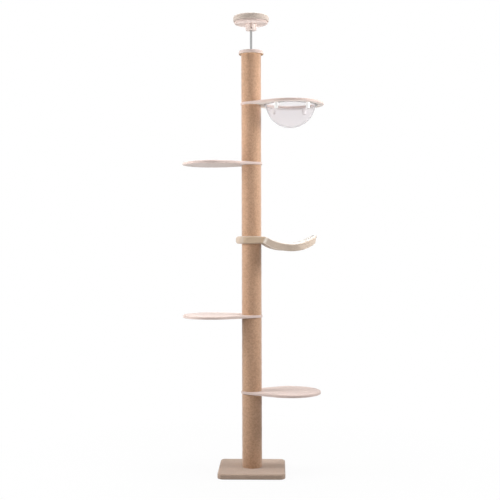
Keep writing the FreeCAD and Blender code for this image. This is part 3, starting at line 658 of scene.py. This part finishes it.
def make_base():
    """Base cover with a swollen top, and the ribbed rubber sheet under the board."""
    low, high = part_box("base_cover")
    outline = rounded_square(high.x - low.x, 34 * MM, 340)
    rows = cover_rows(outline, low.z, high.z, 8 * MM, 2.5 * MM, 0.8 * MM,
                      hole_facing(outline, BOLT_HOLE), 80)
    swell_top(rows, high.z, 1.5 * MM, 64 * MM, 0.4, 110 * MM, 22)
    plush_piece("base_plush", rows, 61 * MM, TAN, "post", "base_cover")
    low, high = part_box("base_underlay")
    sheet = grip_sheet(rounded_square(high.x - low.x, 26 * MM, 340), high.z, low.z, 5.0 * MM, 144, 15 * MM)
    make_piece("base_grip_sheet", grid_shape(sheet, True, True), RUBBER, "post",
               ("base_underlay",))
    finish_node("base_board", CHIPBOARD)


def make_cap():
    """Round plush cap with a hole for the jack rod."""
    low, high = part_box("cap_cover")
    rows = cover_rows(circle(high.x, 200), low.z, high.z, 7 * MM, 2 * MM, 0.6 * MM,
                      circle(7.4 * MM, 200), 28)
    plush_piece("cap_plush", rows, 9 * MM, BEIGE, "post", "cap_cover")
    finish_node("cap_board", CHIPBOARD)


def make_ceiling_disc():
    """Plush shell with both edges rounded, the thinner plush disc under it, and the grip sheet."""
    low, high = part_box("ceiling_disc_cover")
    rows = cover_rows(circle(high.x, 260), low.z, high.z, 8 * MM, 8 * MM, 0.4 * MM, circle(2 * MM, 260), 36)
    # the shell wears the painted-shade copy of the beige plush
    plush_piece("ceiling_disc_plush", rows, 0, SHADED_DISC_PLUSH, "ceiling_disc", "ceiling_disc_cover")
    low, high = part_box("ceiling_disc_lower")
    rim = plain_disc(circle(high.x, 260), low.z, high.z - 0.1 * MM, 5 * MM, 1 * MM, 22.2 * MM)
    plush_piece("ceiling_disc_underside", rim, 0, BEIGE, "ceiling_disc", "ceiling_disc_lower")
    low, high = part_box("ceiling_grip_pad")
    sheet = grip_sheet(circle(high.x, 240), low.z, high.z, 4.0 * MM, 136, 1 * MM)
    make_piece("ceiling_grip_sheet", grid_shape(sheet, True, True), RUBBER, "ceiling_disc",
               ("ceiling_grip_pad",))
    finish_node("ceiling_disc_board", CHIPBOARD)


def plain_disc(outline, low, high, bottom_round, top_round, hole):
    """Closed flat ring: from its hole along the underside, round both edges and back on top."""
    hub = np.linalg.norm(outline[0], axis=1).max() - hole
    rows = [(hub - 0.1 * MM, low)]
    rows += [(inset, low) for inset in np.linspace(hub - 4 * MM, bottom_round, 24)]
    rows += bottom_quarter(bottom_round, low, np.linspace(0, math.pi / 2, 7)[1:])
    rows += quarter((0.0, high - top_round), (top_round, high), 5)
    rows += [(inset, high) for inset in np.linspace(bottom_round, hub - 0.1 * MM, 12)]
    return np.array([at_height(outline, inset, height) for inset, height in rows])


def grip_sheet(outline, flat, ribbed, pitch, steps, hole):
    """Sheet between a flat face and a ribbed one, whose ribs stand a pitch apart and fall by 0.3
    of the thickness between them; the rows close on themselves round the hole."""
    points = outline[0]
    reach = np.linalg.norm(points, axis=1).max()
    inside = np.linspace(reach - hole, 0.0, steps)
    wave = (0.5 - 0.5 * np.cos(TURN * inside / pitch)) * (ribbed - flat) * 0.3
    rows = [(inset, ribbed - sunk) for inset, sunk in zip(inside, wave)]
    rows += [(inset, flat) for inset in inside[::-1]]
    return np.array([np.column_stack([points * (1 - inset / reach), np.full(len(points), height)])
                     for inset, height in rows])


# -------- cradle cushion


CRADLE_TURN = math.radians(7)
SMALL_END, BIG_END, CRADLE_REACH = 95 * MM, 168 * MM, 234 * MM
BEND, SWEEP, LOW_X, DIP = 30 * MM, 305 * MM, 227 * MM, 44 * MM
HALF_PAD, CROWN = 23 * MM, 0.24
CRADLE_MIDDLE = 1405 * MM
COLLAR_HOLE = 62.6 * MM
TIP_START, TIP_LEAN, TIP_SEAM = 300 * MM, 7 * MM, 372 * MM
COLLAR_END, COLLAR_SLANT, COLLAR_LEVEL = 66 * MM, 0.43, 1390 * MM
FACE_ROWS = 44
EDGE_ROWS = 8
PUFF_STEPS = 20


def cradle_level(x, half):
    """Height above the post joint of the face that lies half a thickness over (or under) the
    bent middle line: level about the post, a quarter bend down, then the hollow arc."""
    turn = math.acos(1 - DIP / (BEND + SWEEP))
    bend_x = LOW_X - (BEND + SWEEP) * math.sin(turn)
    over = BEND + half
    under = SWEEP - half
    bend = np.sqrt(np.maximum(over ** 2 - (x - bend_x) ** 2, 0)) - BEND
    hollow = SWEEP - DIP - np.sqrt(np.maximum(under ** 2 - (x - LOW_X) ** 2, 0))
    joint = bend_x + over * math.sin(turn)
    return np.where(x < bend_x, half, np.where(x < joint, bend, hollow))


def cushion_rows(count):
    """Closed cushion round the post: up the hole, out over the top panel, down the side and back
    underneath. Returns plan points and levels, with level 1 on the top face and -1 on the bottom.
    Its edges are quarter-rounds, larger at the tip and at the back."""
    outline = teardrop(SMALL_END, BIG_END, CRADLE_REACH, False, count)
    points, normals = outline
    hole = hole_facing(outline, COLLAR_HOLE)[0]
    tip = eased(np.clip((points[:, 0] - TIP_START) / (90 * MM), 0, 1))
    back = eased(np.clip(-points[:, 0] / (70 * MM), 0, 1))
    over = (9 + 7 * tip + 8 * back) * MM
    under = (9 + 2 * tip + 8 * back) * MM
    plan, level = [], []

    def add_face(inset, side, shares):
        for share in shares:
            plan.append(hole + (points - inset[:, None] * normals - hole) * share)
            level.append(np.full(count, side * (1.0 if share > 0 else 0.92)))

    def add_edge(inset, side, angles):
        for angle in angles:
            plan.append(points - (inset * (1 - math.sin(angle)))[:, None] * normals)
            level.append(side * (1 - inset / HALF_PAD * (1 - math.cos(angle))))

    angles = np.linspace(0, math.pi / 2, EDGE_ROWS + 1)[1:]
    add_face(over, 1, np.linspace(0.0, 1.0, FACE_ROWS))
    add_edge(over, 1, angles)
    for share in np.linspace(0, 1, EDGE_ROWS + 2)[1:-1]:
        plan.append(points)
        level.append((1 - over / HALF_PAD) * (1 - share) - (1 - under / HALF_PAD) * share)
    add_edge(under, -1, angles[::-1])
    add_face(under, -1, np.linspace(1.0, 0.0, FACE_ROWS))
    return np.array(plan), np.array(level)


def cushion_points(plan, level):
    """Points in space from plan places and levels: the level runs between the cushion's bottom
    and top faces, the tip's end leans so that it stands square to the board, and the whole is
    turned about the post."""
    lean = np.clip((plan[..., 0] - TIP_START) / (100 * MM), 0, 1) ** 2
    x = plan[..., 0] - TIP_LEAN * (1 - level) * lean
    top = cradle_level(x, HALF_PAD)
    bottom = cradle_level(x, -HALF_PAD)
    height = CRADLE_MIDDLE + (top + bottom) / 2 + level * (top - bottom) / 2
    cos, sin = math.cos(CRADLE_TURN), math.sin(CRADLE_TURN)
    return np.stack([cos * x - sin * plan[..., 1], sin * x + cos * plan[..., 1], height], -1)


def between(coarse):
    """Grid with every value of a closed coarse grid and the mean of each two neighbours."""
    for axis in (0, 1):
        middle = (coarse + np.roll(coarse, -1, axis)) / 2
        shape = list(coarse.shape)
        shape[axis] *= 2
        coarse = np.stack([coarse, middle], axis + 1).reshape(shape)
    return coarse


def puffed(points, held, cap):
    """Closed grid after it has been filled like a cushion: cloth with pressure on every second
    row and column, the held points pinned, no point moved further than the cap, and the moves
    spread to the points between."""
    coarse = points[::2, ::2]
    vertices, faces = grid_shape(coarse, True, True)
    mesh = bpy.data.meshes.new("puff")
    mesh.from_pydata(vertices.tolist(), [], faces)
    skin = add_object("puff", mesh)
    pins = skin.vertex_groups.new(name="held")
    pins.add(np.flatnonzero(held[::2, ::2]).tolist(), 1.0, "REPLACE")
    cloth = skin.modifiers.new("cloth", "CLOTH")
    settings = {"quality": 6, "mass": 0.4, "tension_stiffness": 22, "compression_stiffness": 22,
                "shear_stiffness": 8, "bending_stiffness": 4, "use_pressure": True,
                "uniform_pressure_force": 4, "vertex_group_mass": "held"}
    for label, value in settings.items():
        setattr(cloth.settings, label, value)
    cloth.settings.effector_weights.gravity = 0
    cloth.collision_settings.use_collision = False
    cloth.point_cache.frame_start = 1
    cloth.point_cache.frame_end = PUFF_STEPS
    for step in range(1, PUFF_STEPS + 1):
        bpy.context.scene.frame_set(step)
    shaped = skin.evaluated_get(bpy.context.evaluated_depsgraph_get())
    moved = np.empty(len(vertices) * 3)
    shaped.data.vertices.foreach_get("co", moved)
    bpy.context.scene.frame_set(1)
    bpy.data.objects.remove(skin)
    shift = moved.reshape(coarse.shape) - coarse
    length = np.linalg.norm(shift, axis=-1, keepdims=True)
    return points + between(shift * np.minimum(1.0, cap / np.maximum(length, 1e-9)))


def make_cradle():
    """Cushion with piped edges, a slanted seam where the collar ends and a seam at the tip. A
    painted highlight runs along the slanted seam, the piping past it is paler, and the top panel is
    paler, partly its own cream cloth and partly painted light from above.
    """
    plan, level = cushion_rows(220)
    near_post = spread_from_post(plan) < COLLAR_HOLE + 8 * MM
    row = np.arange(len(level))[:, None]
    crown = CROWN * np.sin(math.pi * np.clip(row / FACE_ROWS, 0, 1)) ** 0.7
    crown = crown * np.clip((plan[..., 0] - 90 * MM) / (70 * MM), 0, 1)
    points = cushion_points(plan, level * 0.98 + crown)
    full = puffed(points, near_post, 3.5 * MM)
    normals = grid_normals(full)
    if (normals[..., 2] * level).sum() < 0:
        normals = -normals
    x = plan[..., 0]
    outer = np.clip((spread_from_post(plan) - COLLAR_HOLE) / (10 * MM), 0, 1)
    seam_x = COLLAR_END + COLLAR_SLANT * (points[..., 2] - COLLAR_LEVEL)
    from_seam = np.abs(x - seam_x) / MM
    side_first = FACE_ROWS + EDGE_ROWS // 2 - 1
    side_last = FACE_ROWS + 2 * EDGE_ROWS + EDGE_ROWS // 2
    welt = bell(row - side_first, 0.9) + bell(row - side_last, 0.9)
    side = ((row >= side_first) & (row <= side_last)) * 1.0
    groove = bell(from_seam - 6.5, 1.3) + bell(np.abs(x - TIP_SEAM) / MM, 1.3) * side
    push = 0.9 * MM * welt - 1.3 * MM * groove * np.clip(side + (row < side_first) * 0.7, 0, 1)
    push = push + 0.8 * MM * bell(from_seam, 4.0) * side
    push = push + 0.5 * MM * ripple(full, 60 * MM, 31) + 0.22 * MM * ripple(full, 5 * MM, 32)
    full = full + normals * (push * outer)[..., None]
    piece = make_piece("cradle_cushion", grid_shape(full, True, True), CUSHION, "cradle",
                       ("cradle_pad",))
    # painted highlight: the band along the slanted seam, where the rounded end of the seat pad faces the
    # left lamp
    seam_band_highlight = np.clip(2.2 - from_seam / 5.0, 0, 1) * side
    masks = {"collar": np.clip((seam_x - x) / (4 * MM), 0, 1) * (row >= side_first)
             * np.clip((x + 60 * MM) / (5 * MM), 0, 1),
             # paler top panel: partly cream cloth, partly painted light from above
             "cream_and_lit_panel": (row < side_first) * np.clip((x - seam_x) / (6 * MM), 0, 1),
             # painted highlight on the seam band, and paler piping past the seam
             "seam_highlight_and_piping": np.clip(seam_band_highlight + 0.85 * welt * (x > seam_x), 0, 1)}
    for label, mask in masks.items():
        held_mask = piece.data.attributes.new(label, "FLOAT", "POINT")
        held_mask.data.foreach_set("value", (mask + 0 * x).astype(np.float32).reshape(-1))
    finer = piece.modifiers.new("finer", "SUBSURF")
    finer.levels = 1
    finer.render_levels = 1
    finish_node("cradle_board", BEECH)


# -------- bowl and clamps


CLAMP_CIRCLE = 170 * MM
CLAMP_ANGLE, CLAMP_TURN = 33.1, 2.7
FLUTES = 18


def arc(across, height, radius, first, last, count):
    """Arc of a profile from the first angle to the last, measured from the outward direction."""
    return [(across + radius * math.cos(a), height + radius * math.sin(a))
            for a in np.linspace(first, last, count)]


def lathe(profile, count, centre=(0, 0)):
    """Profile of (radius, height) pairs turned round an upright line; a zero radius is a pole."""
    profile = np.array(profile)
    angle = np.arange(count) * TURN / count
    radius = np.maximum(profile[:, :1], 1e-7)
    flat_points = np.stack([radius * np.cos(angle), radius * np.sin(angle)], -1) + np.array(centre)
    height = np.broadcast_to(profile[:, 1:], radius.shape[:1] + (count,))
    return np.concatenate([flat_points, height[..., None]], -1)


def make_bowl():
    """Bowl blown from one sheet: a part of a sphere inside and out, with a rounded flange."""
    low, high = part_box("clear_bowl")
    outer = 151 * MM
    inner = outer - 3 * MM
    middle = low.z + outer
    edge = (high.x - low.x) / 2
    under = high.z - 4 * MM
    meet = math.asin((middle - under) / outer)
    profile = arc(0, middle, outer, -math.pi / 2, -meet - 0.02, 70)
    corner = outer * math.cos(meet)
    profile += [(corner + 0.8 * MM, under - 1.2 * MM), (corner + 2.4 * MM, under - 0.2 * MM)]
    profile += [(r, under) for r in np.linspace(corner + 4 * MM, edge - 2 * MM, 5)]
    profile += arc(edge - 2 * MM, under + 2 * MM, 2 * MM, -math.pi / 2, math.pi / 2, 9)
    top = math.asin((middle - high.z) / inner)
    lip = inner * math.cos(top)
    profile += [(r, high.z) for r in np.linspace(edge - 4 * MM, lip + 2 * MM, 5)]
    profile += [(lip + 0.8 * MM, high.z - 0.4 * MM), (lip, high.z - 1.4 * MM)]
    profile += arc(0, middle, inner, -top - 0.02, -math.pi / 2, 70)
    points = lathe(profile, 180, ((low.x + high.x) / 2, 0))
    make_piece("acrylic_bowl", grid_shape(points, False, True), ACRYLIC, "bowl_arm",
               ("clear_bowl",), weld=1e-6)


def clamp_places():
    """Centres of the four clamps: two on each side of the arm, on one circle about the bowl."""
    places = []
    for across in (1, -1):
        for along in (1, -1):
            angle = math.radians(along * CLAMP_ANGLE - across * CLAMP_TURN)
            places.append((RING_REACH + CLAMP_CIRCLE * math.sin(angle),
                           across * CLAMP_CIRCLE * math.cos(angle), 0))
    return np.array(places)


def make_clamps():
    """Clamp knobs with a stem and a fluted grip, and screws with a cross recess."""
    low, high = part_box("bowl_knobs")
    tall = high.z - low.z
    rim, bore = 13.5 * MM, 2.7 * MM
    profile = [(bore, low.z + 4 * MM), (6 * MM, low.z + 3 * MM), (8 * MM, low.z + 0.3 * MM),
               (10.2 * MM, low.z), (11.3 * MM, low.z + 1.2 * MM)]
    profile += [(11.5 * MM, low.z + tall * f) for f in np.linspace(0.08, 0.44, 8)]
    profile += [(11.9 * MM, low.z + tall * 0.475), (13.1 * MM, low.z + tall * 0.505)]
    profile += [(rim, low.z + tall * f) for f in np.linspace(0.53, 0.93, 10)]
    profile += [(rim - 0.5 * MM, high.z - 1.0 * MM), (rim - 2 * MM, high.z), (bore, high.z)]
    knob = lathe(profile, 120)
    angle = np.arctan2(knob[..., 1], knob[..., 0])
    grip = np.clip((knob[..., 2] - low.z - tall * 0.5) / (3 * MM), 0, 1)
    grip = grip * np.clip((high.z - 1.5 * MM - knob[..., 2]) / (2 * MM), 0, 1)
    knob[..., :2] *= (1 - 0.055 * grip * (0.5 + 0.5 * np.cos(FLUTES * angle)) ** 2)[..., None]
    screw = screw_points()
    knobs = merged([grid_shape(knob + place, True, True) for place in clamp_places()])
    screws = merged([grid_shape(screw + place, False, True) for place in clamp_places()])
    make_piece("clamp_knobs", knobs, PLASTIC, "bowl_arm", ("bowl_knobs",), weld=1e-6)
    make_piece("clamp_screws", screws, STEEL, "bowl_arm", ("bowl_screws",), weld=1e-6)


def screw_points():
    """Screw seen from its tip up: shank, flat underside of the head, domed top sunk by a cross."""
    low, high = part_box("bowl_screws")
    head = 5 * MM
    under = high.z - 3 * MM
    profile = [(0, low.z), (1.8 * MM, low.z), (2.5 * MM, low.z + 1 * MM), (2.5 * MM, under),
               (4.9 * MM, under), (head, under + 0.4 * MM)]
    profile += [(head * math.cos(a), under + 0.4 * MM + 2.6 * MM * math.sin(a))
                for a in np.linspace(0.15, math.pi / 2, 14)]
    points = lathe(profile, 64)
    bar = np.abs(points[..., :2]).min(-1)
    deep = np.clip((0.75 * MM - bar) / (0.25 * MM), 0, 1) * (spread_from_post(points) < 3 * MM)
    upper = np.clip((points[..., 2] - under - 1 * MM) / (0.5 * MM), 0, 1)
    points[..., 2] -= 1.4 * MM * deep * upper
    return points


# -------- ceiling jack


def make_jack():
    """Hand knob: six lobes parted by round valleys that fade out at a plain lip at the bottom. A
    valley is a circle beyond the rim: at angle a from its middle its wall is at
    c cos(a) - sqrt(v^2 - c^2 sin(a)^2) from the axis, for a radius v and a centre at c."""
    low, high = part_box("hand_knob")
    outer, bore, lip, edge = 33 * MM, 7.4 * MM, 5 * MM, 3 * MM
    valley, valley_at = 8 * MM, 35 * MM
    profile = [(bore, low.z + 0.6 * MM), (bore + 0.8 * MM, low.z)]
    profile += [(r, low.z) for r in np.linspace(12 * MM, outer - edge, 6)]
    profile += arc(outer - edge, low.z + edge, edge, 0.2 - math.pi / 2, 0, 6)
    profile += [(outer, z) for z in np.linspace(low.z + 3.6 * MM, high.z - 3.4 * MM, 26)]
    profile += arc(outer - edge, high.z - edge, edge, 0, math.pi / 2, 7)
    profile += [(r, high.z) for r in np.linspace(outer - 5 * MM, bore + 0.8 * MM, 5)]
    profile += [(bore, high.z - 0.6 * MM)]
    points = lathe(profile, 240)
    radius = spread_from_post(points)
    angle = np.arctan2(points[..., 1], points[..., 0]) + math.pi / 2
    step = TURN / 6
    from_valley = np.abs((angle + step / 2) % step - step / 2)
    depth = eased(np.clip((points[..., 2] - low.z - lip) / (5 * MM), 0, 1))
    aside = valley_at * np.sin(from_valley)
    hollow = valley_at * np.cos(from_valley) - np.sqrt(np.maximum(valley ** 2 - aside ** 2, 0))
    limit = np.where(aside < valley, np.minimum(hollow, outer), outer)
    limit = limit * depth + outer * (1 - depth)
    cut = np.minimum(radius, np.maximum(limit - (outer - radius) * 0.3, 0)) / radius
    points[..., :2] *= cut[..., None]
    make_piece("jack_knob", grid_shape(points, True, True), WARM_PLASTIC, "jack",
               ("hand_knob",))
    finish_node("jack_rod", ROD_STEEL)


# -------- camera, light, room


def make_camera():
    """Camera at the height of the cradle, a little to the right of the post."""
    yaw, pitch, roll = (math.radians(a) for a in (-1.6745, -0.5640, -0.1482))
    data = bpy.data.cameras.new("camera")
    data.sensor_width = 36
    data.lens = 67.7952
    data.clip_end = 60
    camera = add_object("camera", data)
    turn = Matrix.Rotation(-yaw, 4, "Z") @ Matrix.Rotation(math.pi / 2 + pitch, 4, "X")
    camera.matrix_world = (Matrix.Translation((0.1567, -5.6908, 1.4001)) @ turn
                           @ Matrix.Rotation(roll, 4, "Z"))
    bpy.context.scene.camera = camera


def area_light(name, place, aim, wide, tall, watts):
    """White lamp of the given size, turned towards its aim and hidden from reflections."""
    data = bpy.data.lights.new(name, "AREA")
    data.shape = "RECTANGLE"
    data.size = wide
    data.size_y = tall
    data.energy = watts
    lamp = add_object(name, data)
    lamp.visible_glossy = False
    lamp.location = place
    direction = Vector(aim) - Vector(place)
    lamp.rotation_euler = direction.to_track_quat("-Z", "Y").to_euler()


WORLD_FRONT = 0.11
WORLD_BACK = 0.50
FLOOR_GLOW = 0.94
FLOOR_HALF = 12.0


def seen_directly(tree):
    """1 for camera, gloss and clear-plastic rays, 0 for the light that falls on the object."""
    seen = tree.nodes.new("ShaderNodeLightPath").outputs
    return math_node(tree, "MAXIMUM", seen["Is Camera Ray"],
                     math_node(tree, "MAXIMUM", seen["Is Glossy Ray"], seen["Is Transmission Ray"]))


def white_room():
    """World and floor that look white to the camera, to gloss and through clear plastic. The
    light the world gives is weaker from the front than from behind and above."""
    world = bpy.data.worlds.new("room")
    bpy.context.scene.world = world
    world.use_nodes = True
    tree = world.node_tree
    tree.nodes.clear()
    place = tree.nodes.new("ShaderNodeTexCoord").outputs["Generated"]
    depth = add_node(tree, "SeparateXYZ", {0: place}).outputs[1]
    ambient = span(tree, depth, -0.9, 0.6, WORLD_FRONT, WORLD_BACK)
    direct = seen_directly(tree)
    strength = math_node(tree, "MAXIMUM", direct, ambient)
    light = add_node(tree, "Background", {"Color": (1, 1, 1, 1), "Strength": strength})
    output = tree.nodes.new("ShaderNodeOutputWorld")
    tree.links.new(light.outputs[0], output.inputs["Surface"])

    material, tree, shader = new_material("floor")
    feed(tree, shader, {"Base Color": (0.62, 0.62, 0.62, 1), "Roughness": 0.9, "Specular IOR Level": 0.0})
    glow = add_node(tree, "Emission", {"Color": (1, 1, 1, 1), "Strength": 1.0})
    away = add_node(tree, "VectorMath", {0: object_place(tree)}, operation="LENGTH").outputs["Value"]
    share = span(tree, away, 0.5, 1.8, FLOOR_GLOW, 1.0)
    mixed = add_node(tree, "MixShader", {0: math_node(tree, "MULTIPLY", seen_directly(tree), share),
                                         1: shader.outputs[0], 2: glow.outputs[0]})
    output = [node for node in tree.nodes if node.bl_idname == "ShaderNodeOutputMaterial"][0]
    tree.links.new(mixed.outputs[0], output.inputs["Surface"])
    mesh = bpy.data.meshes.new("floor")
    corners = [(x * FLOOR_HALF, y * FLOOR_HALF, 0) for x, y in ((-1, -1), (1, -1), (1, 1), (-1, 1))]
    mesh.from_pydata(corners, [], [(0, 1, 2, 3)])
    mesh.materials.append(material)
    floor = add_object("floor", mesh)


make_camera()
white_room()
area_light("left_softbox", (-2.2, -0.3, 1.9), (0, 0, 1.8), 1.2, 1.6, 55)
area_light("right_softbox", (2.3, -0.3, 2.4), (0, 0, 2.2), 1.2, 1.1, 64)
area_light("top_softbox", (0, 0.3, 4.6), (0, 0, 0), 2.4, 2.4, 101)
area_light("front_softbox", (0.2, -2.0, 1.85), (0, 0, 1.85), 0.9, 0.9, 13)

make_post()
for side in ("lower_right", "lower_left", "upper_left"):
    make_shelf(side)
make_ring()
make_base()
make_cap()
make_ceiling_disc()
make_cradle()
make_bowl()
make_clamps()
make_jack()

for name in ("plug_inserts", "connector_studs", "base_bolt", "base_washer", "rod_nut", "cap_screws",
             "socket_screws", "disc_screws"):
    finish_node(name, STEEL)
for name in ("bowl_spacers", "swivel_socket"):
    finish_node(name, PLASTIC)

bpy.context.scene.view_settings.view_transform = "Standard"
